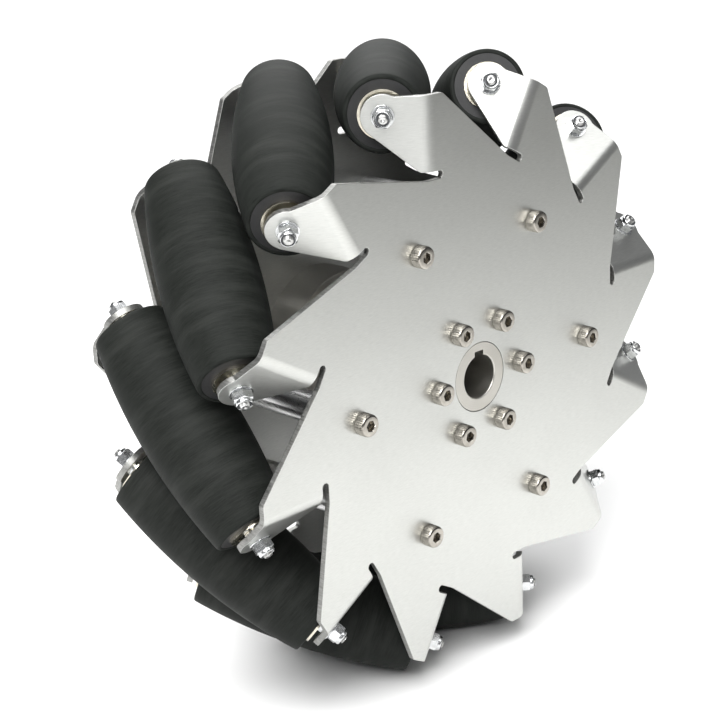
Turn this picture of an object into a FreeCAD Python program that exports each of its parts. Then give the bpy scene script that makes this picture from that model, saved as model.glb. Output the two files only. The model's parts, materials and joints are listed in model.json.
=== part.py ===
import FreeCAD, Part
import math
import os
import Sketcher
from FreeCAD import Placement, Rotation, Vector

# Mecanum wheel: two star-shaped sheet-metal plates on a keyed hub and six spacers, with
# twelve free-spinning barrel rollers whose axles stand at 45 degrees to the wheel axle.
#
# Frame: millimetres, +Z up, wheel axle along Y, origin at the middle of the wheel. The
# front plate faces -Y. Roller 01 is at the top and the others follow clockwise as seen
# from the front, which is a positive turn about +Y.
#
# Drawing frames, all for roller 01:
#   tooth frame: x runs along the rim, z outwards from the wheel axle
#   tab frame:   t runs from the bend line into the tab, z outwards from the wheel axle
#   axle frame:  s runs along the roller axle from its middle, r is the distance from it

SHEET = "dims"
TILT = "45"                        # roller axles to wheel axle, degrees


def barrel_radius(wheel_radius, roller_circle, offset):
    """Radius of a roller at some distance from its middle, so that the twelve rollers
    together roll as one circle: the distance of the contact line from the roller axle."""
    slope = math.sqrt(0.5)
    low, high = 0.0, math.radians(60.0)
    for _ in range(60):
        turn = (low + high) / 2.0
        across = wheel_radius * math.sin(turn)
        along = roller_circle * math.tan(turn)
        if slope * (across + along) < offset:
            low = turn
        else:
            high = turn
    height = wheel_radius * math.cos(turn) - roller_circle
    return math.sqrt(across ** 2 + along ** 2 + height ** 2 - offset ** 2)


DIMENSIONS = {
    "roller_count": 12,
    "screw_count": 6,
    "wheel_radius": 101.5,
    "roller_circle": 86.2,         # wheel axle to roller axles
    "roller_half_length": 36.5,
    "half_width": 38.4,            # middle of the wheel to the outer face of a plate
    "sheet_thickness": 2.0,
    # star plate
    "disc_radius": 66.4,
    "tooth_top": 91.9,             # wheel axle to the top edge of a tooth and its tab
    "tooth_tip": 13.2,             # centre line of a tooth to the corner at its tip
    "tooth_foot_x": 15.38,         # where the long edge of a tooth meets the next slot
    "tooth_foot_z": 68.08,
    "tooth_root": 60.0,
    "slot_height": 67.85,          # wheel axle to the middle of a relief slot
    "slot_width": 2.4,
    "slot_end": 15.3,              # centre line of a tooth to the round end of its slot
    "slot_mouth": 20.7,
    "tip_round": 1.6,
    "knee_round": 8.0,
    # bent tab that carries one end of a roller axle
    "bend_inner": 3.5,
    "ear_offset": 40.7,            # middle of a roller to the outer face of an ear
    "ear_radius": 6.6,
    "ear_edge_angle": 39.5,        # lower edge of a tab to the rim direction, degrees
    "tab_foot_round": 2.0,
    "ear_round": 1.6,
    "axle_hole_radius": 2.15,
    # roller
    "rim_round": 0.8,
    "core_radius": 9.2,
    "core_bore": 3.0,
    "collar_radius": 10.4,
    "collar_length": 2.0,
    "collar_recess": 0.2,
    "seat_radius": 6.52,
    # flanged ball bearing, 4 x 13 x 5
    "bearing_radius": 6.5,
    "bearing_width": 5.0,
    "bearing_bore": 2.0,
    "flange_radius": 7.5,
    "flange_width": 1.0,
    "outer_race_bore": 5.4,
    "inner_race_radius": 3.05,
    "shield_bore": 3.3,
    "shield_thickness": 0.25,
    "shield_inset": 0.2,
    # 4 mm axle with M3 ends, its shims, washers and self-locking nuts
    "axle_radius": 1.97,
    "axle_end_radius": 1.48,
    "axle_half_length": 46.0,
    "axle_chamfer": 0.35,
    "axle_shoulder": 0.5,          # how far a shoulder stays inside the face of its ear
    "shim_bore": 2.1,
    "shim_radius": 3.0,
    "washer_bore": 1.6,
    "washer_radius": 3.5,
    "washer_thickness": 0.5,
    "nut_bore": 1.5,
    "nut_flats": 5.5,
    "nut_hexagon": 2.9,            # height of the hexagon, without the collar
    "nut_height": 4.0,
    "nut_collar_radius": 2.5,
    "nut_collar_round": 0.4,
    "nut_crown": 2.65,             # radius at which the chamfer of a nut's corners starts
    "nut_chamfer_angle": 30.0,
    # hub
    "hub_radius": 24.0,
    "hub_waist_radius": 15.0,
    "hub_flange": 14.0,
    "spigot_radius": 11.2,
    "spigot_clearance": 0.15,
    "spigot_step": 0.1,            # how far a spigot stays below the face of its plate
    "shaft_radius": 7.0,
    "bore_chamfer": 0.3,
    "key_half_width": 2.0,
    "key_top": 8.5,                # wheel axle to the bottom of the keyway
    # M4 socket head screws, in two rings
    "screw_angle": 120.0,
    "hub_screw_circle": 19.1,
    "spacer_screw_circle": 52.2,
    "screw_radius": 1.97,
    "screw_hole_radius": 2.15,
    "tap_radius": 2.0,
    "tap_depth": 13.0,
    "screw_length": 12.0,
    "screw_chamfer": 0.4,
    "head_radius": 3.5,
    "head_height": 4.0,
    "socket_flats": 3.0,
    "socket_depth": 2.0,
    "spacer_radius": 5.0,
    "spacer_chamfer": 0.5,
}
DIMENSIONS["roller_end_radius"] = round(
    barrel_radius(
        DIMENSIONS["wheel_radius"],
        DIMENSIONS["roller_circle"],
        DIMENSIONS["roller_half_length"],
    ),
    2,
)

# Places that several pieces share, as expressions of the dimensions
INNER_FACE = "(half_width - sheet_thickness)"
SPIGOT_END = "(half_width - spigot_step)"
BEND_OUTER = "(bend_inner + sheet_thickness)"
SETBACK = f"({BEND_OUTER} * tan({TILT} / 2))"
BEND_LINE = f"(half_width - ear_offset / cos({TILT}))"
BEND_START = f"({BEND_LINE} + {SETBACK})"
HOLE_FROM_BEND = f"(ear_offset + {BEND_LINE} / cos({TILT}))"
SLOT_TOP = "(slot_height + slot_width / 2)"
SLOT_BOTTOM = "(slot_height - slot_width / 2)"
EAR_INNER = "(ear_offset - sheet_thickness)"
CORE_END = "(roller_half_length - collar_recess)"
COLLAR_START = f"({CORE_END} - collar_length)"
BEARING_OUT = f"({CORE_END} + flange_width)"
BEARING_IN = f"({BEARING_OUT} - bearing_width)"
MIDDLE_RADIUS = "(wheel_radius - roller_circle)"
BARREL_SAG = f"({MIDDLE_RADIUS} - roller_end_radius)"
BARREL_ARC = f"((roller_half_length ^ 2 + {BARREL_SAG} ^ 2) / 2 / {BARREL_SAG})"


def make_sheet(doc):
    """The driving dimensions, one row each: name, value."""
    sheet = doc.addObject("Spreadsheet::Sheet", SHEET)
    for row, (name, size) in enumerate(DIMENSIONS.items(), start=1):
        sheet.set(f"A{row}", name)
        sheet.set(f"B{row}", f"{size:g}")
        sheet.setAlias(f"B{row}", name)
    doc.recompute()


def bound(text):
    """An expression with the name of each dimension turned into its cell in the sheet."""
    parts = []
    word = ""
    for letter in text + " ":
        if letter.isalnum() or letter == "_":
            word += letter
            continue
        parts.append(f"{SHEET}.{word}" if word in DIMENSIONS else word)
        parts.append(letter)
        word = ""
    return "".join(parts).strip()


def value(owner, text):
    """What an expression is worth now."""
    result = owner.evalExpression(bound(text))
    return float(getattr(result, "Value", result))


def about_y(degrees):
    return Placement(Vector(), Rotation(Vector(0, 1, 0), degrees))


FACING_BACK = Placement(Vector(), Rotation(Vector(0, 0, 1), 180.0))
TILTED = Rotation(Vector(0, 1, 0), float(TILT))


# ------------------------------------------------------------ drawing and features


def make_body(doc, label, placement):
    body = doc.addObject("PartDesign::Body", label)
    body.Label = label
    body.Placement = placement
    return body


def own_datum(body, role):
    """One of the body's own base planes or axes."""
    return next(item for item in body.Origin.OriginFeatures if item.Role == role)


def make_sketch(body, name, plane, base=None, turn=None):
    """A sketch on one of the body's base planes, turned within it and then moved by
    expressions for x, y or z in the plane's own frame."""
    sketch = body.newObject("Sketcher::SketchObject", name)
    sketch.AttachmentSupport = [(own_datum(body, plane), "")]
    sketch.MapMode = "FlatFace"
    if turn is not None:
        sketch.AttachmentOffset = Placement(Vector(), turn)
    for axis, text in (base or {}).items():
        sketch.setExpression(f"AttachmentOffset.Base.{axis}", bound(text))
    return sketch


def bind(sketch, constraint, text):
    index = sketch.addConstraint(constraint)
    sketch.setExpression(f"Constraints[{index}]", bound(text))


def draw_outline(sketch, corners, arcs=None):
    """A closed outline through corners, each a pair of expressions. For the side that
    starts at a corner, arcs gives the radius, the centre and whether it runs
    anticlockwise. The other sides are straight."""
    arcs = arcs or {}
    points = [Vector(value(sketch, x), value(sketch, y), 0) for x, y in corners]
    sides = []
    for index, start in enumerate(points):
        stop = points[(index + 1) % len(points)]
        if index not in arcs:
            edge = sketch.addGeometry(Part.LineSegment(start, stop), False)
            sides.append((edge, 1, 2))
            continue
        radius, centre_x, centre_y, anticlockwise = arcs[index]
        centre = Vector(value(sketch, centre_x), value(sketch, centre_y), 0)
        circle = Part.Circle(centre, Vector(0, 0, 1), value(sketch, radius))
        first, last = (start, stop) if anticlockwise else (stop, start)
        arc = Part.ArcOfCircle(circle, circle.parameter(first), circle.parameter(last))
        edge = sketch.addGeometry(arc, False)
        sides.append((edge, 1, 2) if anticlockwise else (edge, 2, 1))
    for index, (edge, begin, end) in enumerate(sides):
        after, after_begin, _ = sides[(index + 1) % len(sides)]
        sketch.addConstraint(Sketcher.Constraint("Coincident", edge, end, after, after_begin))
    for (edge, begin, _), (x, y) in zip(sides, corners):
        for kind, text in (("DistanceX", x), ("DistanceY", y)):
            size = value(sketch, text)
            bind(sketch, Sketcher.Constraint(kind, -1, 1, edge, begin, size), text)
    for index, (radius, _, _, _) in arcs.items():
        size = value(sketch, radius)
        bind(sketch, Sketcher.Constraint("Radius", sides[index][0], size), radius)


def draw_circle(sketch, radius, x="0", y="0"):
    centre = Vector(value(sketch, x), value(sketch, y), 0)
    size = value(sketch, radius)
    edge = sketch.addGeometry(Part.Circle(centre, Vector(0, 0, 1), size), False)
    bind(sketch, Sketcher.Constraint("Radius", edge, size), radius)
    for kind, text in (("DistanceX", x), ("DistanceY", y)):
        bind(sketch, Sketcher.Constraint(kind, -1, 1, edge, 3, value(sketch, text)), text)


def draw_hexagon(sketch, flats, x="0", y="0"):
    reach = f"{flats} / 2 / cos(30)"
    corners = []
    for angle in range(30, 390, 60):
        corners.append((f"{x} + {reach} * cos({angle})", f"{y} + {reach} * sin({angle})"))
    draw_outline(sketch, corners)


def extrude(body, sketch, kind, name, length, reverse=False):
    """A pad or a pocket of some length. A pad rises on the side the sketch faces and a
    pocket sinks away from it, unless reversed."""
    feature = body.newObject(f"PartDesign::{kind}", name)
    feature.Profile = sketch
    feature.Reversed = reverse
    feature.setExpression("Length", bound(length))
    return feature


def turn_profile(body, sketch, name, kind="Revolution", axis="H_Axis"):
    feature = body.newObject(f"PartDesign::{kind}", name)
    feature.Profile = sketch
    feature.ReferenceAxis = (sketch, [axis])
    feature.Angle = 360.0
    return feature


def repeat_round(body, features, name, count):
    """Equal copies of some features round the wheel axle."""
    pattern = body.newObject("PartDesign::PolarPattern", name)
    pattern.Originals = features
    pattern.Axis = (own_datum(body, "Y_Axis"), [""])
    pattern.Angle = 360.0
    pattern.setExpression("Occurrences", bound(count))
    body.Tip = pattern
    return pattern


def round_edges(body, base, name, radius, wanted):
    """A fillet on the edges of a feature that wanted accepts."""
    body.Document.recompute()
    edges = [f"Edge{i}" for i, edge in enumerate(base.Shape.Edges, 1) if wanted(edge)]
    if not edges:
        raise RuntimeError(f"{body.Label}: nothing to round for {name}")
    fillet = body.newObject("PartDesign::Fillet", name)
    fillet.Base = (base, edges)
    fillet.setExpression("Radius", bound(radius))
    body.Tip = fillet
    return fillet


def edges_at(spot, count, length):
    """A test for straight edges of one length whose middle is at a spot or at one of its
    equal turns about the wheel axle."""
    spots = [about_y(360.0 * i / count).multVec(spot) for i in range(count)]

    def wanted(edge):
        if abs(edge.Length - length) > 0.01 or len(edge.Vertexes) != 2:
            return False
        middle = (edge.Vertexes[0].Point + edge.Vertexes[1].Point) * 0.5
        return any(middle.distanceToPoint(place) < 0.05 for place in spots)

    return wanted


# ------------------------------------------------------------------- star plates


def draw_tooth(body):
    """The flat of tooth 01, from its bend to the foot of its long edge."""
    sketch = make_sketch(body, "tooth_outline", "XZ_Plane", {"z": "half_width"})
    draw_outline(
        sketch,
        [
            (BEND_START, SLOT_TOP),
            (BEND_START, "tooth_top"),
            ("-tooth_tip", "tooth_top"),
            ("tooth_foot_x", "tooth_foot_z"),
            (
                f"{SLOT_BOTTOM} * sin(30) - slot_end * cos(30)",
                f"{SLOT_BOTTOM} * cos(30) + slot_end * sin(30)",
            ),
            ("slot_end", "tooth_root"),
            ("-slot_end", "tooth_root"),
        ],
    )
    return extrude(body, sketch, "Pad", "tooth", "sheet_thickness", reverse=True)


def draw_bend(body):
    """The bend of tab 01: a sector of a ring, extruded outwards from the wheel axle."""
    sketch = make_sketch(body, "bend_outline", "XY_Plane", {"z": SLOT_TOP})
    centre_y = f"({BEND_OUTER} - half_width)"
    corners = []
    for radius, angle in (
        (BEND_OUTER, "0"),
        ("bend_inner", "0"),
        ("bend_inner", TILT),
        (BEND_OUTER, TILT),
    ):
        x = f"{BEND_START} - {radius} * sin({angle})"
        y = f"{centre_y} - {radius} * cos({angle})"
        corners.append((x, y))
    arcs = {
        1: ("bend_inner", BEND_START, centre_y, False),
        3: (BEND_OUTER, BEND_START, centre_y, True),
    }
    draw_outline(sketch, corners, arcs)
    return extrude(body, sketch, "Pad", "bend", f"tooth_top - {SLOT_TOP}")


def tab_sketch(body, name):
    """A sketch on the outer face of tab 01, with the bend line at x = 0."""
    base = {"x": "-half_width", "z": BEND_LINE}
    return make_sketch(body, name, "YZ_Plane", base, TILTED)


def draw_tab(body):
    """The flat tab 01: a straight top edge, a round ear and a slanting lower edge."""
    sketch = tab_sketch(body, "tab_outline")
    touch_t = f"({HOLE_FROM_BEND} + ear_radius * sin(ear_edge_angle))"
    touch_z = "(roller_circle - ear_radius * cos(ear_edge_angle))"
    foot_t = f"({touch_t} - ({touch_z} - {SLOT_TOP}) / tan(ear_edge_angle))"
    rise = "(tooth_top - roller_circle)"
    corners = [
        (SETBACK, SLOT_TOP),
        (foot_t, SLOT_TOP),
        (touch_t, touch_z),
        (f"{HOLE_FROM_BEND} - sqrt(ear_radius ^ 2 - {rise} ^ 2)", "tooth_top"),
        (SETBACK, "tooth_top"),
    ]
    arcs = {2: ("ear_radius", HOLE_FROM_BEND, "roller_circle", True)}
    draw_outline(sketch, corners, arcs)
    tab = extrude(body, sketch, "Pad", "tab", "sheet_thickness")
    return tab, [value(sketch, text) for text in (foot_t, corners[3][0])]


def star_plate(doc, label, placement):
    """A star of twelve teeth cut from sheet. One side of each tooth is bent inwards into
    a tab whose round ear is square to the roller axle that it holds."""
    body = make_body(doc, label, placement)
    disc = make_sketch(body, "disc_outline", "XZ_Plane", {"z": "half_width"})
    draw_circle(disc, "disc_radius")
    extrude(body, disc, "Pad", "disc", "sheet_thickness", reverse=True)
    tooth = draw_tooth(body)
    bend = draw_bend(body)
    tab, (foot_t, ear_t) = draw_tab(body)
    repeat_round(body, [tooth, bend, tab], "teeth", "roller_count")

    slot = make_sketch(body, "slot_outline", "XZ_Plane", {"z": "half_width"})
    slot_corners = [
        ("-slot_mouth", SLOT_BOTTOM),
        ("-slot_end", SLOT_BOTTOM),
        ("-slot_end", SLOT_TOP),
        ("-slot_mouth", SLOT_TOP),
    ]
    draw_outline(slot, slot_corners)
    slot_cut = extrude(body, slot, "Pocket", "slot", "sheet_thickness")
    slot_end = make_sketch(body, "slot_end_outline", "XZ_Plane", {"z": "half_width"})
    draw_circle(slot_end, "slot_width / 2", "-slot_end", "slot_height")
    end_cut = extrude(body, slot_end, "Pocket", "slot_end", "sheet_thickness")
    axle_hole = tab_sketch(body, "axle_hole_outline")
    draw_circle(axle_hole, "axle_hole_radius", HOLE_FROM_BEND, "roller_circle")
    hole_cut = extrude(body, axle_hole, "Pocket", "axle_hole", "sheet_thickness", reverse=True)
    repeat_round(body, [slot_cut, end_cut, hole_cut], "slots_and_holes", "roller_count")

    centre = make_sketch(body, "hub_hole_outline", "XZ_Plane", {"z": "half_width"})
    draw_circle(centre, "spigot_radius + spigot_clearance")
    extrude(body, centre, "Pocket", "hub_hole", "sheet_thickness")
    screws = make_sketch(body, "screw_hole_outline", "XZ_Plane", {"z": "half_width"})
    for circle in ("hub_screw_circle", "spacer_screw_circle"):
        x = f"{circle} * cos(screw_angle)"
        z = f"{circle} * sin(screw_angle)"
        draw_circle(screws, "screw_hole_radius", x, z)
    screw_cut = extrude(body, screws, "Pocket", "screw_hole", "sheet_thickness")
    holes = repeat_round(body, [screw_cut], "screw_holes", "screw_count")
    round_plate_corners(body, holes, foot_t, ear_t)
    return body


def round_plate_corners(body, base, foot_t, ear_t):
    """The rounded corners of the teeth and tabs."""
    half_width = value(body, "half_width")
    thickness = value(body, "sheet_thickness")
    count = round(value(body, "roller_count"))
    tilt = math.radians(float(TILT))
    middle_y = thickness / 2 - half_width

    def on_tooth(x, z):
        return Vector(x, middle_y, z)

    def on_tab(t, z):
        x = value(body, BEND_LINE) - t * math.cos(tilt) + thickness / 2 * math.sin(tilt)
        y = -half_width + t * math.sin(tilt) + thickness / 2 * math.cos(tilt)
        return Vector(x, y, z)

    top = value(body, "tooth_top")
    knee = on_tooth(value(body, "tooth_foot_x"), value(body, "tooth_foot_z"))
    for name, radius, spot in (
        ("tooth_tips", "tip_round", on_tooth(-value(body, "tooth_tip"), top)),
        ("tooth_knees", "knee_round", knee),
        ("tab_feet", "tab_foot_round", on_tab(foot_t, value(body, SLOT_TOP))),
        ("ear_necks", "ear_round", on_tab(ear_t, top)),
    ):
        base = round_edges(body, base, name, radius, edges_at(spot, count, thickness))


# ------------------------------------------------- pieces turned about a roller axle


def axle_sketch(body, name):
    """A sketch through roller 01's axle: x is s and y is r."""
    return make_sketch(body, name, "XZ_Plane", {"y": "roller_circle"}, TILTED)


def mirrored(corners):
    """A profile at the front end of an axle, from the same one at its back end."""
    return [(f"-({s})", r) for s, r in reversed(corners)]


def turned_piece(body, name, corners, arcs=None):
    sketch = axle_sketch(body, f"{name}_profile")
    draw_outline(sketch, corners, arcs)
    return turn_profile(body, sketch, name)


def turned_pair(body, name, corners):
    """The same turned piece at both ends of roller 01's axle."""
    back = turned_piece(body, f"{name}_back", corners)
    front = turned_piece(body, f"{name}_front", mirrored(corners))
    body.Tip = front
    return [back, front]


def ring_profile(start, stop, bore, radius):
    return [(start, bore), (stop, bore), (stop, radius), (start, radius)]


def roller_tyre(doc, label, placement):
    """The rubber barrel, moulded over the core and its two collars."""
    body = make_body(doc, label, placement)
    end = "roller_half_length"
    corners = [
        (f"-{end}", "collar_radius"),
        (f"-{end}", "roller_end_radius"),
        (end, "roller_end_radius"),
        (end, "collar_radius"),
        (COLLAR_START, "collar_radius"),
        (COLLAR_START, "core_radius"),
        (f"-{COLLAR_START}", "core_radius"),
        (f"-{COLLAR_START}", "collar_radius"),
    ]
    arcs = {1: (BARREL_ARC, "0", f"{MIDDLE_RADIUS} - {BARREL_ARC}", False)}
    barrel = turned_piece(body, "barrel", corners, arcs)
    rim_radius = value(body, "roller_end_radius")

    def rim(edge):
        circle = getattr(edge.Curve, "Radius", 0.0)
        return edge.isClosed() and abs(circle - rim_radius) < 0.01

    round_edges(body, barrel, "rims", "rim_round", rim)
    return body


def roller_core(doc, label, placement):
    """The stiff tube inside a tyre, with a collar and a bearing seat at each end."""
    body = make_body(doc, label, placement)
    outside = [
        (COLLAR_START, "core_radius"),
        (COLLAR_START, "collar_radius"),
        (CORE_END, "collar_radius"),
        (CORE_END, "seat_radius"),
        (BEARING_IN, "seat_radius"),
        (BEARING_IN, "core_bore"),
    ]
    turned_piece(body, "tube", outside + mirrored(outside))
    return body


def roller_bearings(doc, label, placement):
    """The turning parts of two bearings: flanged outer races, each with two shields."""
    body = make_body(doc, label, placement)
    outer_shield = f"({BEARING_OUT} - shield_inset)"
    inner_shield = f"({BEARING_IN} + shield_inset)"
    race = [
        (BEARING_IN, "bearing_radius"),
        (CORE_END, "bearing_radius"),
        (CORE_END, "flange_radius"),
        (BEARING_OUT, "flange_radius"),
        (BEARING_OUT, "outer_race_bore"),
        (outer_shield, "outer_race_bore"),
        (outer_shield, "shield_bore"),
        (f"{outer_shield} - shield_thickness", "shield_bore"),
        (f"{outer_shield} - shield_thickness", "outer_race_bore"),
        (f"{inner_shield} + shield_thickness", "outer_race_bore"),
        (f"{inner_shield} + shield_thickness", "shield_bore"),
        (inner_shield, "shield_bore"),
        (inner_shield, "outer_race_bore"),
        (BEARING_IN, "outer_race_bore"),
    ]
    turned_pair(body, "outer_race", race)
    return body


def axle(doc, label, placement):
    """A rod with a thinner threaded end outside each of the two ears that hold it."""
    body = make_body(doc, label, placement)
    shoulder = "(ear_offset - axle_shoulder)"
    end = [
        (shoulder, "axle_radius"),
        (shoulder, "axle_end_radius"),
        ("axle_half_length - axle_chamfer", "axle_end_radius"),
        ("axle_half_length", "axle_end_radius - axle_chamfer"),
        ("axle_half_length", "0"),
    ]
    turned_piece(body, "stud", end + mirrored(end))
    return body


def rings_on_axles(doc, label, name, start, stop, bore, radius):
    """Equal rings at both ends of every roller axle."""
    body = make_body(doc, label, Placement())
    pair = turned_pair(body, name, ring_profile(start, stop, bore, radius))
    repeat_round(body, pair, f"all_{name}s", "roller_count")
    return body


def axle_nuts(doc, label):
    """M3 self-locking nuts outside the washers: a hexagon with chamfered corners, and the
    round collar that holds the nylon ring."""
    body = make_body(doc, label, Placement())
    inside = "(ear_offset + washer_thickness)"
    outside = f"({inside} + nut_hexagon)"
    past_corner = "(nut_flats / 2 / cos(30) + 1)"
    cut = f"({past_corner} - nut_crown) * tan(nut_chamfer_angle)"
    features = []
    for side, sign in (("back", ""), ("front", "-")):
        base = {
            "x": f"{sign}{inside} * sin({TILT})",
            "y": "roller_circle",
            "z": f"{sign}{inside} * cos({TILT})",
        }
        prism = make_sketch(body, f"hexagon_{side}", "YZ_Plane", base, TILTED)
        draw_hexagon(prism, "nut_flats")
        draw_circle(prism, "nut_bore")
        reverse = side == "front"
        features.append(extrude(body, prism, "Pad", f"nut_{side}", "nut_hexagon", reverse))
        for part, face, edge in (
            ("inner", inside, f"{inside} + {cut}"),
            ("outer", outside, f"{outside} - {cut}"),
        ):
            corners = [(face, "nut_crown"), (face, past_corner), (edge, past_corner)]
            if side == "front":
                corners = mirrored(corners)
            chamfer = axle_sketch(body, f"{part}_chamfer_{side}")
            draw_outline(chamfer, corners)
            name = f"{part}_corners_{side}"
            features.append(turn_profile(body, chamfer, name, "Groove"))
    end = f"({inside} + nut_height)"
    collar = [
        (outside, "nut_bore"),
        (end, "nut_bore"),
        (end, "nut_collar_radius - nut_collar_round"),
        (f"{end} - nut_collar_round", "nut_collar_radius"),
        (outside, "nut_collar_radius"),
    ]
    features += turned_pair(body, "collar", collar)
    repeat_round(body, features, "all_nuts", "roller_count")
    return body


# ------------------------------------------------------------ hub, spacers, screws


def hub(doc, label):
    """A spool between the plates: a spigot through each of them, a keyed bore for the
    shaft, and threaded holes for the inner ring of screws."""
    body = make_body(doc, label, Placement())
    profile = make_sketch(body, "spool_profile", "XY_Plane")
    flange_inside = f"({INNER_FACE} - hub_flange)"
    back = [
        ("hub_waist_radius", flange_inside),
        ("hub_radius", flange_inside),
        ("hub_radius", INNER_FACE),
        ("spigot_radius", INNER_FACE),
        ("spigot_radius", SPIGOT_END),
        ("shaft_radius + bore_chamfer", SPIGOT_END),
        ("shaft_radius", f"{SPIGOT_END} - bore_chamfer"),
    ]
    front = [(r, f"-({y})") for r, y in reversed(back)]
    draw_outline(profile, back + front)
    turn_profile(body, profile, "spool", axis="V_Axis")

    key = make_sketch(body, "keyway_outline", "XZ_Plane", {"z": SPIGOT_END})
    key_corners = [
        ("-key_half_width", "0"),
        ("key_half_width", "0"),
        ("key_half_width", "key_top"),
        ("-key_half_width", "key_top"),
    ]
    draw_outline(key, key_corners)
    extrude(body, key, "Pocket", "keyway", f"2 * {SPIGOT_END}")

    taps = []
    for side, sign in (("front", ""), ("back", "-")):
        base = {"z": f"{sign}{INNER_FACE}"}
        sketch = make_sketch(body, f"tap_outline_{side}", "XZ_Plane", base)
        x = "hub_screw_circle * cos(screw_angle)"
        draw_circle(sketch, "tap_radius", x, "hub_screw_circle * sin(screw_angle)")
        reverse = side == "back"
        taps.append(extrude(body, sketch, "Pocket", f"tap_{side}", "tap_depth", reverse))
    repeat_round(body, taps, "taps", "screw_count")
    return body


def screw_sketch(body, name, circle):
    """A sketch through a screw at the top of its circle: x is the place along the wheel
    axle and y is the distance from the screw's axis."""
    return make_sketch(body, name, "YZ_Plane", {"y": circle})


def socket_screws(doc, label, circle, placement):
    """A ring of M4 socket head screws in the front plate."""
    body = make_body(doc, label, placement)
    profile = screw_sketch(body, "screw_profile", circle)
    head_top = "(-half_width - head_height)"
    tip = "(screw_length - half_width)"
    corners = [
        (head_top, "0"),
        (head_top, "head_radius - screw_chamfer"),
        (f"{head_top} + screw_chamfer", "head_radius"),
        ("-half_width", "head_radius"),
        ("-half_width", "screw_radius"),
        (f"{tip} - screw_chamfer", "screw_radius"),
        (tip, "screw_radius - screw_chamfer"),
        (tip, "0"),
    ]
    draw_outline(profile, corners)
    screw = turn_profile(body, profile, "screw")
    socket = make_sketch(body, "socket_outline", "XZ_Plane", {"z": f"-{head_top}"})
    draw_hexagon(socket, "socket_flats", "0", circle)
    recess = extrude(body, socket, "Pocket", "socket", "socket_depth")
    repeat_round(body, [screw, recess], "screws", "screw_count")
    return body


def plate_spacers(doc, label, placement):
    """Six round pillars between the plates, threaded at both ends."""
    body = make_body(doc, label, placement)
    profile = screw_sketch(body, "spacer_profile", "spacer_screw_circle")
    back = [
        (f"{INNER_FACE} - tap_depth", "0"),
        (f"{INNER_FACE} - tap_depth", "tap_radius"),
        (INNER_FACE, "tap_radius"),
        (INNER_FACE, "spacer_radius - spacer_chamfer"),
        (f"{INNER_FACE} - spacer_chamfer", "spacer_radius"),
    ]
    draw_outline(profile, back + mirrored(back))
    spacer = turn_profile(body, profile, "spacer")
    repeat_round(body, [spacer], "spacers", "screw_count")
    return body


# ------------------------------------------------------------------ whole wheel


def build_pieces(doc):
    """Every piece, with the number of separate solids that it should have."""
    rollers = round(DIMENSIONS["roller_count"])
    screws = round(DIMENSIONS["screw_count"])
    to_screws = about_y(90.0 - DIMENSIONS["screw_angle"])
    pieces = [
        (star_plate(doc, "front_plate", Placement()), 1),
        (star_plate(doc, "back_plate", FACING_BACK), 1),
        (hub(doc, "hub"), 1),
        (plate_spacers(doc, "plate_spacers", to_screws), screws),
    ]
    for ring in ("hub", "spacer"):
        circle = f"{ring}_screw_circle"
        for side, facing in (("front", Placement()), ("back", FACING_BACK)):
            label = f"{ring}_screws_{side}"
            placement = facing.multiply(to_screws)
            pieces.append((socket_screws(doc, label, circle, placement), screws))
    for index in range(rollers):
        placement = about_y(360.0 * index / rollers)
        number = f"{index + 1:02d}"
        pieces.append((roller_tyre(doc, f"roller_tyre_{number}", placement), 1))
        pieces.append((roller_core(doc, f"roller_core_{number}", placement), 1))
        pieces.append((roller_bearings(doc, f"roller_bearings_{number}", placement), 2))
        pieces.append((axle(doc, f"axle_{number}", placement), 1))
    washer_end = "ear_offset + washer_thickness"
    for label, name, start, stop, bore, radius in (
        ("inner_races", "race", BEARING_IN, BEARING_OUT, "bearing_bore", "inner_race_radius"),
        ("axle_shims", "shim", BEARING_OUT, EAR_INNER, "shim_bore", "shim_radius"),
        ("axle_washers", "washer", "ear_offset", washer_end, "washer_bore", "washer_radius"),
    ):
        rings = rings_on_axles(doc, label, name, start, stop, bore, radius)
        pieces.append((rings, 2 * rollers))
    pieces.append((axle_nuts(doc, "axle_nuts"), 2 * rollers))
    return pieces


def check(doc, pieces):
    """Stop if any object failed to compute or any piece isn't made of sound solids."""
    for item in doc.Objects:
        if {"Invalid", "Error"} & set(item.State):
            raise RuntimeError(f"{item.Label} failed: {item.State}")
    for piece, solids in pieces:
        shape = piece.Shape
        if shape.isNull() or not shape.isValid():
            raise RuntimeError(f"{piece.Label}: shape is null or not valid")
        if len(shape.Solids) != solids:
            raise RuntimeError(f"{piece.Label}: {len(shape.Solids)} solids, not {solids}")


def main():
    doc = FreeCAD.newDocument("mecanum_wheel")
    make_sheet(doc)
    pieces = build_pieces(doc)
    doc.recompute()
    check(doc, pieces)
    os.makedirs("parts", exist_ok=True)
    for piece, solids in pieces:
        piece.Shape.exportStep(f"parts/{piece.Label}.step")
        print(f"{piece.Label}: {solids} solid(s), {piece.Shape.Volume:.1f} mm3")


main()
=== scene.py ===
import json
import math

import bmesh
import bpy
import numpy as np
from mathutils import Matrix, Quaternion, Vector
from mathutils.bvhtree import BVHTree


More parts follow.
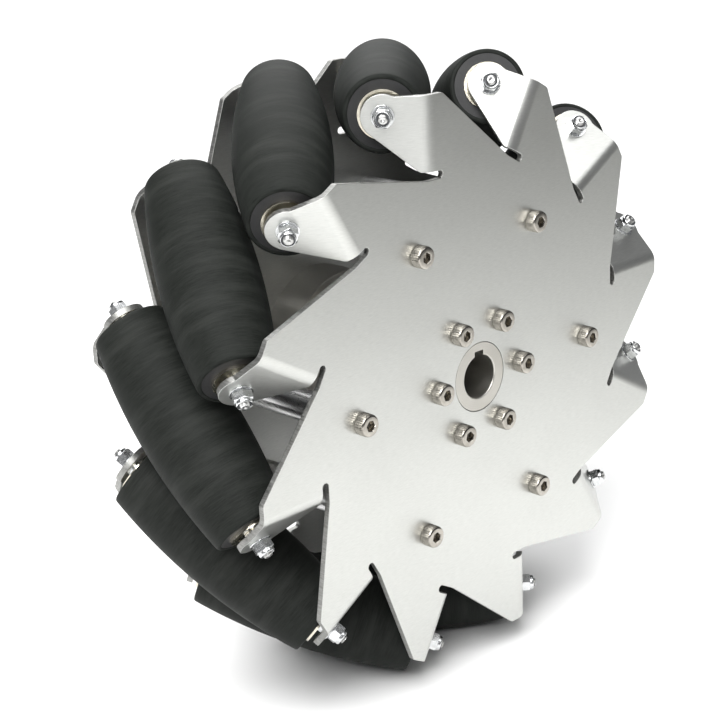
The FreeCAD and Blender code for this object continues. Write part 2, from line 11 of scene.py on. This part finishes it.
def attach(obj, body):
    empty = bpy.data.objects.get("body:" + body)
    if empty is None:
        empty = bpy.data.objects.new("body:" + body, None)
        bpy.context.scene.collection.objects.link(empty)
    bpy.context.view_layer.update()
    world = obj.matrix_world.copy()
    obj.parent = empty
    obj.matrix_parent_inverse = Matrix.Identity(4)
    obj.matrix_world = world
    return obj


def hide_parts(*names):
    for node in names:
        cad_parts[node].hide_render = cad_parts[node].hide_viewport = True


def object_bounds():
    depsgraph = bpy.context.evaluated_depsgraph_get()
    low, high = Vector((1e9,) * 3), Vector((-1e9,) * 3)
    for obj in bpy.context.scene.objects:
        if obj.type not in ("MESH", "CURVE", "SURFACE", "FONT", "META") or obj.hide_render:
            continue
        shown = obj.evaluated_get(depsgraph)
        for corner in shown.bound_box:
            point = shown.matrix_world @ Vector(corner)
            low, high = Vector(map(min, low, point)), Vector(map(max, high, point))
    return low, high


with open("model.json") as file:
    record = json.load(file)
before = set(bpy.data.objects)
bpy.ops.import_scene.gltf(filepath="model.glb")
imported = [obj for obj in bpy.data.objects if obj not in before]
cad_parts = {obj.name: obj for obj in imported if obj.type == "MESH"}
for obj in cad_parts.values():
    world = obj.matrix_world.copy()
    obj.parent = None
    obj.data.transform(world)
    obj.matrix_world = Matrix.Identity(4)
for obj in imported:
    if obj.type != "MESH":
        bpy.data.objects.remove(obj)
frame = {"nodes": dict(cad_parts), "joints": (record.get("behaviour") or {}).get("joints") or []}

cad_box = [list(corner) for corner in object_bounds()]

MM = 0.001
FRONT, BACK = -1, 1

# Sizes in millimetres, as in the CAD model.
ROLLER_HALF = 36.5
ROLLER_MIDDLE = 15.3
BARREL_ARC = 189.4
RIM_ROUND = 0.8
COLLAR_RADIUS = 10.4
COLLAR_DEPTH = 2.2
CORE_RADIUS = 9.2
AXLE_RADIUS = 1.97
AXLE_END_RADIUS = 1.48
AXLE_SHOULDER = 40.2
AXLE_HALF = 46.0
NUT_SEAT = 41.2
NUT_FLATS = 5.5
NUT_BORE = 1.5
NUT_CROWN = 2.65
NUT_HEXAGON = 2.9
NUT_COLLAR = 2.5
NUT_HEIGHT = 4.0
SHEET = 2.0
PLATE_FACE = 38.4
HUB_SCREW_CIRCLE = 19.1
SPACER_SCREW_CIRCLE = 52.2
SCREW_COUNT = 6
SCREW_RADIUS = 2.0
SCREW_LENGTH = 12.0
HEAD_RADIUS = 3.5
HEAD_HEIGHT = 4.0
SOCKET_FLATS = 3.0
SOCKET_FLOOR = 2.0

# Detail that only the visual model has, in millimetres.
THREAD_PITCH = 0.5
THREAD_DEPTH = 0.28
THREAD_START = 44.4                # inside the nut
THREAD_CHAMFER = 0.3
KNURLS = 36
KNURL_DEPTH = 0.13
NYLON_LEVEL = 3.6
NYLON_RADIUS = 2.08
RIM_SLOPE = 0.16                   # how far the rounded rim of a tyre leans inwards
MOUTH_CHAMFER = 0.12               # at the tyre's open ends
PLATE_BEVEL = 0.16
HUB_BEVEL = 0.12
WASHER_BEVEL = 0.08

# Angles in degrees: over the first an edge of a CAD node is hard, under the second two faces
# of it count as one.
HARD_EDGE = 35
FLAT_ENOUGH = 0.6

TYRE_SEGMENTS = 112
AXLE_SEGMENTS = 48
SCREW_SEGMENTS = 180
NUT_SEGMENTS = 72


# ---------------------------------------------------------------- materials


def add_node(tree, kind, inputs=(), **settings):
    """A shader node; inputs pairs a socket's name or number with a value or another socket."""
    node = tree.nodes.new(kind)
    for key, value in settings.items():
        setattr(node, key, value)
    for key, value in dict(inputs).items():
        if isinstance(value, bpy.types.NodeSocket):
            tree.links.new(value, node.inputs[key])
        else:
            node.inputs[key].default_value = value
    return node


def new_material(name, **sockets):
    """A material with set values on its shader; _ stands for a space in a socket's name."""
    material = bpy.data.materials.new(name)
    material.use_nodes = True
    tree = material.node_tree
    shader = tree.nodes["Principled BSDF"]
    for key, value in sockets.items():
        shader.inputs[key.replace("_", " ")].default_value = value
    return material, tree, shader


def connect(tree, shader, colour, roughness=None, normal=None):
    """Feed what varies over the surface into the shader."""
    for name, source in (("Base Color", colour), ("Roughness", roughness), ("Normal", normal)):
        if source is not None:
            tree.links.new(source, shader.inputs[name])


def noise(tree, vector, scale, detail=3.0, roughness=0.55):
    made = add_node(tree, "ShaderNodeTexNoise",
                    {"Vector": vector, "Scale": scale, "Detail": detail, "Roughness": roughness})
    return made.outputs["Fac"]


def stretched(tree, vector, scale):
    return add_node(tree, "ShaderNodeVectorMath", {0: vector, 1: scale},
                    operation="MULTIPLY").outputs[0]


def length_of(tree, vector):
    return add_node(tree, "ShaderNodeVectorMath", {0: vector},
                    operation="LENGTH").outputs["Value"]


def between(tree, value, low, high, from_low=0.3, from_high=0.7):
    """The value from its usual range, spread from low to high."""
    made = add_node(tree, "ShaderNodeMapRange",
                    {"Value": value, "From Min": from_low, "From Max": from_high,
                     "To Min": low, "To Max": high})
    return made.outputs["Result"]


def blend_colours(tree, share, first, second):
    """A mix of two colours, each three numbers or a colour socket."""
    made = add_node(tree, "ShaderNodeMix", data_type="RGBA")
    tree.links.new(share, made.inputs["Factor"])
    for key, value in ((6, first), (7, second)):
        if isinstance(value, bpy.types.NodeSocket):
            tree.links.new(value, made.inputs[key])
        else:
            made.inputs[key].default_value = (*value, 1.0)
    return made.outputs[2]


def mottled(tree, pattern, dark, light):
    return blend_colours(tree, between(tree, pattern, 0.0, 1.0), dark, light)


def bump(tree, height, distance, strength=1.0, below=None):
    """Relief of the height pattern, on top of an earlier relief if there is one below."""
    inputs = {"Height": height, "Distance": distance, "Strength": strength}
    if below is not None:
        inputs["Normal"] = below
    return add_node(tree, "ShaderNodeBump", inputs).outputs["Normal"]


def object_place(tree):
    return add_node(tree, "ShaderNodeTexCoord").outputs["Object"]


def sheet_metal():
    """Rolled sheet: a fine grain across the wheel, with a faint tooth and cloudy gloss."""
    material, tree, shader = new_material("sheet_metal", Metallic=1.0)
    place = object_place(tree)
    grain = noise(tree, stretched(tree, place, (420.0, 420.0, 5200.0)), 1.0, 4.0)
    tooth = noise(tree, place, 2600.0, 2.0)
    cloud = noise(tree, place, 26.0, 3.0)
    rough = add_node(tree, "ShaderNodeMath",
                     {0: between(tree, cloud, 0.33, 0.40), 1: between(tree, tooth, -0.03, 0.04)},
                     operation="ADD").outputs[0]
    relief = bump(tree, grain, 0.000010, 0.5)
    connect(tree, shader, mottled(tree, grain, (0.525, 0.53, 0.51), (0.60, 0.605, 0.583)),
            rough, bump(tree, tooth, 0.000006, 0.5, relief))
    return material


def cut_edge():
    """The sheared edge of the sheet: darker and rougher than its faces, streaked across."""
    material, tree, shader = new_material("cut_edge", Metallic=1.0)
    cut = noise(tree, stretched(tree, object_place(tree), (1900.0, 260.0, 1900.0)), 1.0, 4.0, 0.65)
    connect(tree, shader, mottled(tree, cut, (0.20, 0.20, 0.19), (0.40, 0.40, 0.385)),
            between(tree, cut, 0.42, 0.58), bump(tree, cut, 0.00004, 0.6))
    return material


def turned_metal(name, dark, light, roughness):
    """Metal with fine turning marks round the wheel's axle line."""
    material, tree, shader = new_material(name, Metallic=1.0)
    place = object_place(tree)
    from_axle = length_of(tree, stretched(tree, place, (1.0, 0.0, 1.0)))
    ring = add_node(tree, "ShaderNodeCombineXYZ", {"X": from_axle}).outputs[0]
    cut = noise(tree, stretched(tree, ring, (6500.0, 1.0, 1.0)), 1.0, 3.0)
    cloud = noise(tree, place, 140.0, 3.0)
    connect(tree, shader, mottled(tree, cut, dark, light),
            between(tree, cloud, roughness - 0.05, roughness + 0.07),
            bump(tree, cut, 0.000012, 0.6))
    return material


def small_steel(name, dark, light, roughness):
    """Bright steel of small parts, with a cloudy tint and tiny pits."""
    material, tree, shader = new_material(name, Metallic=1.0)
    place = object_place(tree)
    cloud = noise(tree, place, 420.0, 3.0)
    pits = noise(tree, place, 3600.0, 2.0)
    connect(tree, shader, mottled(tree, cloud, dark, light),
            between(tree, pits, roughness - 0.05, roughness + 0.08),
            bump(tree, pits, 0.000008, 0.5))
    return material


def ground_rubber(name, place):
    """Rubber ground round a roller's own axle; place is the roller's frame in the wheel."""
    material, tree, shader = new_material(name, Specular_IOR_Level=0.10)
    own = add_node(tree, "ShaderNodeMapping",
                   {"Vector": object_place(tree), "Location": place.translation,
                    "Rotation": place.to_euler()}, vector_type="TEXTURE").outputs[0]
    rings = noise(tree, stretched(tree, own, (240.0, 240.0, 3900.0)), 1.0, 4.0, 0.65)
    bands = noise(tree, stretched(tree, own, (40.0, 40.0, 300.0)), 1.0, 3.0)
    crumb = noise(tree, own, 3200.0, 2.0)
    streak = mottled(tree, rings, (0.006, 0.007, 0.006), (0.017, 0.019, 0.0168))
    worn = blend_colours(tree, between(tree, bands, 0.0, 0.5, 0.45, 0.8), streak,
                         (0.034, 0.036, 0.033))
    relief = bump(tree, rings, 0.00006, 0.7)
    connect(tree, shader, worn, between(tree, rings, 0.55, 0.72),
            bump(tree, crumb, 0.00003, 0.5, relief))
    return material


def moulded_plastic(name, dark, light):
    material, tree, shader = new_material(name, Specular_IOR_Level=0.4)
    place = object_place(tree)
    cloud = noise(tree, place, 180.0, 3.0)
    pits = noise(tree, place, 2800.0, 2.0)
    connect(tree, shader, mottled(tree, cloud, dark, light), between(tree, pits, 0.48, 0.62),
            bump(tree, pits, 0.00002, 0.5))
    return material


def pale_floor():
    material, tree, shader = new_material("pale_floor", Roughness=0.85, Specular_IOR_Level=0.2)
    cloud = noise(tree, object_place(tree), 3.0, 2.0)
    connect(tree, shader, mottled(tree, cloud, (0.86, 0.86, 0.855), (0.88, 0.88, 0.875)))
    return material


def painted_reflection_card():
    """Grey sheet seen only in reflections: a painted reflection of a dimmer room, darker away from
    the wheel.
    """
    material, tree, shader = new_material("painted_reflection_card", Roughness=0.9, Specular_IOR_Level=0.1)
    apart = length_of(tree, object_place(tree))
    connect(tree, shader, blend_colours(tree, between(tree, apart, 0.0, 1.0, 0.15, 0.9),
                                        (0.88, 0.88, 0.87), (0.28, 0.28, 0.27)))
    return material


# ---------------------------------------------------------------- mesh tools


def turn_angles(segments):
    return np.linspace(0.0, 2.0 * np.pi, segments, endpoint=False)


def lathe(rows, segments, closed=False):
    """Vertices and faces of rings about Z. A row is (radius, height), each a number or an
    array. A closed shape joins its last ring to its first; any other has two end caps."""
    angles = turn_angles(segments)
    rings = [np.stack(np.broadcast_arrays(radius * np.cos(angles), radius * np.sin(angles),
                                          height + 0.0 * angles), axis=1)
             for radius, height in rows]
    count = len(rings)
    steps = count if closed else count - 1
    faces = []
    for i in range(steps):
        low, high = i * segments, (i + 1) % count * segments
        for j in range(segments):
            k = (j + 1) % segments
            faces.append((low + j, low + k, high + k, high + j))
    if not closed:
        faces.append(tuple(range(segments))[::-1])
        faces.append(tuple(range((count - 1) * segments, count * segments)))
    return np.concatenate(rings) * MM, faces


def make_mesh(name, shape, places, material, sharp, inlay=None):
    """A mesh holding a copy of the shape at each place. Edges over the sharp angle, in
    degrees, stay hard. An inlay is a second material and the number of faces, at the end of
    the shape, that it covers."""
    points, faces = shape
    inlaid = inlay[1] if inlay else 0
    every_point, every_face, finish = [], [], []
    for number, place in enumerate(places):
        turn = np.array(place.to_3x3())
        every_point.append(points @ turn.T + np.array(place.translation))
        start = number * len(points)
        every_face += [tuple(index + start for index in face) for face in faces]
        finish += [0] * (len(faces) - inlaid) + [1] * inlaid
    mesh = bpy.data.meshes.new(name)
    mesh.from_pydata(np.concatenate(every_point).tolist(), [], every_face)
    mesh.polygons.foreach_set("use_smooth", [True] * len(mesh.polygons))
    mesh.set_sharp_from_angle(angle=math.radians(sharp))
    mesh.materials.append(material)
    if inlay:
        mesh.materials.append(inlay[0])
        mesh.polygons.foreach_set("material_index", finish)
    return mesh


def make_piece(mesh, body, nodes):
    piece = bpy.data.objects.new(mesh.name, mesh)
    bpy.context.scene.collection.objects.link(piece)
    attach(piece, body)
    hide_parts(*nodes)


def frame_from(origin, z_axis, x_axis):
    """The frame at an origin with a Z axis, and an X axis as near as can be to the given one."""
    z = Vector(z_axis).normalized()
    x = (Vector(x_axis) - Vector(x_axis).dot(z) * z).normalized()
    place = Matrix((x, z.cross(x), z)).transposed().to_4x4()
    place.translation = Vector(origin)
    return place


# ---------------------------------------------------------------- shapes


def barrel(height):
    """Radius of a roller at a height from its middle: an arc close to the mecanum curve."""
    return ROLLER_MIDDLE - BARREL_ARC + math.sqrt(BARREL_ARC ** 2 - height ** 2)


def tyre_shape():
    """A rubber barrel: ground outside, rounded rims, and a bore that steps out for the collars."""
    half = []
    reach = ROLLER_HALF - RIM_ROUND
    for t in np.linspace(0.0, 1.0, 34):
        height = reach * t
        half.append((barrel(height), height))
    edge = barrel(reach)
    for angle in np.linspace(0.2, 1.0, 6) * math.pi / 2:
        radius = edge - RIM_ROUND * (1.0 - math.cos(angle)) - RIM_SLOPE * math.sin(angle)
        half.append((radius, reach + RIM_ROUND * math.sin(angle)))
    half.append((COLLAR_RADIUS + MOUTH_CHAMFER, ROLLER_HALF))
    half.append((COLLAR_RADIUS, ROLLER_HALF - MOUTH_CHAMFER))
    half.append((COLLAR_RADIUS, ROLLER_HALF - COLLAR_DEPTH))
    half.append((CORE_RADIUS, ROLLER_HALF - COLLAR_DEPTH))
    lower = [(radius, -height) for radius, height in half[:0:-1]]
    return lathe(lower + half, TYRE_SEGMENTS, closed=True)


def axle_shape():
    """A rod with a shoulder, a real thread, a chamfer and a centre mark at both ends."""
    angles = turn_angles(AXLE_SEGMENTS)
    break_edge = 0.15
    upper = [(AXLE_RADIUS, AXLE_SHOULDER - break_edge), (AXLE_RADIUS - break_edge, AXLE_SHOULDER),
             (AXLE_END_RADIUS, AXLE_SHOULDER)]
    for height in np.arange(THREAD_START, AXLE_HALF + 0.001, THREAD_PITCH / 8):
        wave = (height / THREAD_PITCH - angles / (2.0 * np.pi)) % 1.0
        flank = np.clip(1.15 - 2.6 * np.abs(wave - 0.5), 0.0, 1.0)
        radius = AXLE_END_RADIUS - THREAD_DEPTH * (1.0 - flank)
        chamfer = AXLE_END_RADIUS + AXLE_HALF - THREAD_CHAMFER - height
        upper.append((np.minimum(radius, chamfer), height))
    upper.append((1.1, AXLE_HALF))
    upper.append((0.5, AXLE_HALF))
    upper.append((0.02, AXLE_HALF - 0.35))
    lower = []
    for radius, height in upper[::-1]:
        turned = np.roll(np.asarray(radius)[::-1], 1) if np.ndim(radius) else radius
        lower.append((turned, -height))
    return lathe(lower + upper, AXLE_SEGMENTS)


def hexagon(angles, flats):
    """Radius of a hexagon at each angle, from its size across flats."""
    part = (angles + math.pi / 6) % (math.pi / 3) - math.pi / 6
    return flats / 2 / np.cos(part)


def screw_shape():
    """A socket-head screw, underside of the head at height 0, with a knurled head."""
    angles = turn_angles(SCREW_SEGMENTS)
    knurl = HEAD_RADIUS - KNURL_DEPTH / 2 * (1.0 - np.cos(KNURLS * angles))
    socket = hexagon(angles, SOCKET_FLATS)
    tip = -SCREW_LENGTH
    rows = [(0.02, tip), (SCREW_RADIUS - 0.3, tip), (SCREW_RADIUS, tip + 0.3), (SCREW_RADIUS, 0.0),
            (3.2, 0.0), (3.36, 0.16), (knurl, 0.3), (knurl, 3.3), (3.38, 3.45), (3.3, 3.72),
            (3.05, 3.93), (2.8, HEAD_HEIGHT), (socket + 0.18, HEAD_HEIGHT), (socket, 3.82),
            (socket, SOCKET_FLOOR), (0.02, SOCKET_FLOOR - 0.4)]
    return lathe(rows, SCREW_SEGMENTS)


def nut_shape():
    """A self-locking nut from height 0 up: a chamfered hexagon, then a rolled collar round a
    sunk nylon ring. The last three rings of faces are the nylon and the bore."""
    body = hexagon(turn_angles(NUT_SEGMENTS), NUT_FLATS)
    slope = math.tan(math.radians(30))
    chamfer = [(np.minimum(body, NUT_CROWN + depth / slope), depth)
               for depth in (0.0, 0.05, 0.11, 0.17, 0.24, 0.31)]
    rows = [(NUT_BORE, 0.3), (NUT_BORE + 0.25, 0.0)]
    rows += chamfer
    rows += [(radius, NUT_HEXAGON - depth) for radius, depth in chamfer[::-1]]
    rows += [(NUT_COLLAR, NUT_HEXAGON), (NUT_COLLAR, 3.5), (2.46, 3.72), (2.36, 3.9),
             (2.24, NUT_HEIGHT), (2.12, 3.97), (NYLON_RADIUS, 3.88), (NYLON_RADIUS, NYLON_LEVEL),
             (NUT_BORE + 0.1, NYLON_LEVEL + 0.04), (NUT_BORE, NYLON_LEVEL - 0.1)]
    return lathe(rows, NUT_SEGMENTS, closed=True)


def is_cut_edge(tree, face):
    """True for a face of the sheet's thickness: the far side is not one thickness away."""
    skin = 0.01 * MM
    play = 0.06 * MM
    start = face.calc_center_median() - face.normal * skin
    distance = tree.ray_cast(start, -face.normal)[3]
    return distance is None or abs(distance - SHEET * MM) > play


def rounded_copy(name, width, material, edge_material=None):
    """A copy of a CAD node whose edges are broken by a small bevel."""
    mesh = frame["nodes"][name].data.copy()
    shape = bmesh.new()
    shape.from_mesh(mesh)
    bmesh.ops.remove_doubles(shape, verts=shape.verts, dist=1e-6)
    if edge_material:
        tree = BVHTree.FromBMesh(shape)
        for face in shape.faces:
            face.material_index = int(is_cut_edge(tree, face))
    bmesh.ops.dissolve_limit(shape, angle_limit=math.radians(FLAT_ENOUGH), verts=shape.verts,
                             edges=shape.edges, delimit={"MATERIAL"})
    for face in shape.faces:
        face.smooth = True
    shape.to_mesh(mesh)
    shape.free()
    if mesh.attributes.get("custom_normal"):
        mesh.attributes.remove(mesh.attributes["custom_normal"])
    mesh.set_sharp_from_angle(angle=math.radians(HARD_EDGE))
    finish = [polygon.material_index for polygon in mesh.polygons]
    mesh.materials.clear()
    mesh.materials.append(material)
    if edge_material:
        mesh.materials.append(edge_material)
        mesh.polygons.foreach_set("material_index", finish)
    piece = bpy.data.objects.new(name + "_edged", mesh)
    bpy.context.scene.collection.objects.link(piece)
    edge = piece.modifiers.new("broken_edges", "BEVEL")
    edge.width = width * MM
    edge.segments = 2
    edge.limit_method = "ANGLE"
    edge.angle_limit = math.radians(HARD_EDGE)
    edge.use_clamp_overlap = True
    flat = piece.modifiers.new("flat_faces", "WEIGHTED_NORMAL")
    flat.keep_sharp = False
    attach(piece, "wheel_frame")
    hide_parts(name)
    return piece


# ---------------------------------------------------------------- the wheel

metal = sheet_metal()
edge_metal = cut_edge()
hub_metal = turned_metal("turned_hub", (0.46, 0.445, 0.41), (0.57, 0.555, 0.515), 0.36)
screw_steel = small_steel("screw_steel", (0.30, 0.28, 0.25), (0.45, 0.425, 0.385), 0.17)
nut_steel = small_steel("nut_steel", (0.60, 0.61, 0.61), (0.76, 0.77, 0.78), 0.22)
axle_steel = small_steel("axle_steel", (0.46, 0.46, 0.45), (0.62, 0.62, 0.61), 0.30)
race_steel = small_steel("race_steel", (0.62, 0.58, 0.48), (0.74, 0.70, 0.60), 0.18)
spacer_metal = small_steel("spacer_metal", (0.66, 0.66, 0.66), (0.76, 0.76, 0.76), 0.3)
plastic = moulded_plastic("moulded_plastic", (0.010, 0.010, 0.011), (0.018, 0.018, 0.018))
nylon = moulded_plastic("nylon_ring", (0.05, 0.052, 0.056), (0.09, 0.094, 0.10))

# Every nut and screw is left at a turn of its own, as tightening leaves them.
nut_places = []
for joint in frame["joints"]:
    number = joint["child"][-2:]
    centre = Vector(joint["pos_m"])
    axis = Vector(joint["axis"])
    place = frame_from(centre, axis, centre)
    rubber = ground_rubber("ground_rubber_" + number, place)
    make_piece(make_mesh("tyre_" + number, tyre_shape(), [place], rubber, 50),
               joint["child"], ["roller_tyre_" + number])
    make_piece(make_mesh("threaded_axle_" + number, axle_shape(), [place], axle_steel, 60),
               "wheel_frame", ["axle_" + number])
    for side in (FRONT, BACK):
        seat = centre + side * axis * NUT_SEAT * MM
        turn = math.radians(17 * int(number) + 25 * side)
        nut_places.append(frame_from(seat, side * axis, centre)
                          @ Matrix.Rotation(turn, 4, "Z"))
make_piece(make_mesh("locking_nuts", nut_shape(), nut_places, nut_steel, 28,
                     (nylon, 3 * NUT_SEGMENTS)),
           "wheel_frame", ["axle_nuts"])

for side, end in ((FRONT, "front"), (BACK, "back")):
    for circle, kind in ((HUB_SCREW_CIRCLE, "hub_screws_"), (SPACER_SCREW_CIRCLE, "spacer_screws_")):
        places = []
        for number in range(SCREW_COUNT):
            angle = math.radians(360 / SCREW_COUNT * number)
            across = Vector((math.cos(angle), 0, math.sin(angle)))
            seat = (across * circle + Vector((0, side * PLATE_FACE, 0))) * MM
            twist = Matrix.Rotation(math.radians(23 * number + 11), 4, "Z")
            places.append(frame_from(seat, (0, side, 0), across) @ twist)
        make_piece(make_mesh(kind + end + "_knurled", screw_shape(), places, screw_steel, 28),
                   "wheel_frame", [kind + end])

for name in ("front_plate", "back_plate"):
    rounded_copy(name, PLATE_BEVEL, metal, edge_metal)
rounded_copy("hub", HUB_BEVEL, hub_metal)
rounded_copy("axle_washers", WASHER_BEVEL, nut_steel)

finishes = {"plate_spacers": spacer_metal, "inner_races": race_steel, "axle_shims": nut_steel}
for name in frame["nodes"]:
    if name.startswith("roller_core"):
        finishes[name] = plastic
    if name.startswith("roller_bearings"):
        finishes[name] = race_steel
for name, finish in finishes.items():
    materials = frame["nodes"][name].data.materials
    materials.clear()
    materials.append(finish)


# ---------------------------------------------------------------- studio


def stage_sheet(name, corners, height, material):
    """A level sheet that isn't part of the object."""
    mesh = bpy.data.meshes.new(name)
    mesh.from_pydata([(x, y, 0) for x, y in corners], [], [(0, 1, 2, 3)])
    mesh.materials.append(material)
    sheet = bpy.data.objects.new(name, mesh)
    sheet.location = (0, 0, height)
    bpy.context.scene.collection.objects.link(sheet)
    return sheet


def area_light(name, place, target, size, power):
    """A square soft light at a place, turned to a target."""
    data = bpy.data.lights.new(name, "AREA")
    data.shape = "RECTANGLE"
    data.size = size
    data.size_y = size
    data.energy = power
    lamp = bpy.data.objects.new(name, data)
    lamp.location = place
    aim = Vector(target) - Vector(place)
    lamp.rotation_euler = aim.to_track_quat("-Z", "Y").to_euler()
    bpy.context.scene.collection.objects.link(lamp)


floor_level = cad_box[0][2]
stage_sheet("floor", [(-7, -7), (7, -7), (7, 7), (-7, 7)], floor_level, pale_floor())
# A grey card in front of the wheel and to its right, seen only by the metal: a painted reflection,
# hidden from the camera, from diffuse light and from shadows.
card = stage_sheet("card", [(-0.1, -0.1), (-0.1, -3.0), (3.0, -3.0), (3.0, -0.1)],
                   floor_level + 0.002, painted_reflection_card())
card.visible_camera = False
card.visible_diffuse = False
card.visible_shadow = False

area_light("key", (-0.62, -0.35, 0.80), (-0.05, -0.05, -0.05), 0.8, 22)
area_light("front", (0.22, -0.68, 0.92), (0.05, -0.04, 0.05), 0.6, 2.5)
area_light("top", (0.35, 0.45, 1.15), (0.05, 0.1, 0), 0.9, 7)
area_light("behind", (1.5, 1.9, 1.5), (1.1, 1.4, -0.1), 2.4, 60)

world = bpy.data.worlds.new("studio")
world.use_nodes = True
backdrop = world.node_tree.nodes["Background"]
backdrop.inputs["Color"].default_value = (0.95, 0.97, 1.0, 1.0)
backdrop.inputs["Strength"].default_value = 0.16
bpy.context.scene.world = world
bpy.context.scene.view_settings.view_transform = "Standard"

camera_data = bpy.data.cameras.new("camera")
camera_data.lens = 82.14
camera_data.sensor_width = 36
camera_data.clip_start = 0.01
camera = bpy.data.objects.new("camera", camera_data)
camera.rotation_mode = "QUATERNION"
camera.location = (-0.36259, -0.36705, 0.17427)
camera.rotation_quaternion = Quaternion((0.748146, 0.545504, -0.201750, -0.319374))
bpy.context.scene.collection.objects.link(camera)
bpy.context.scene.camera = camera
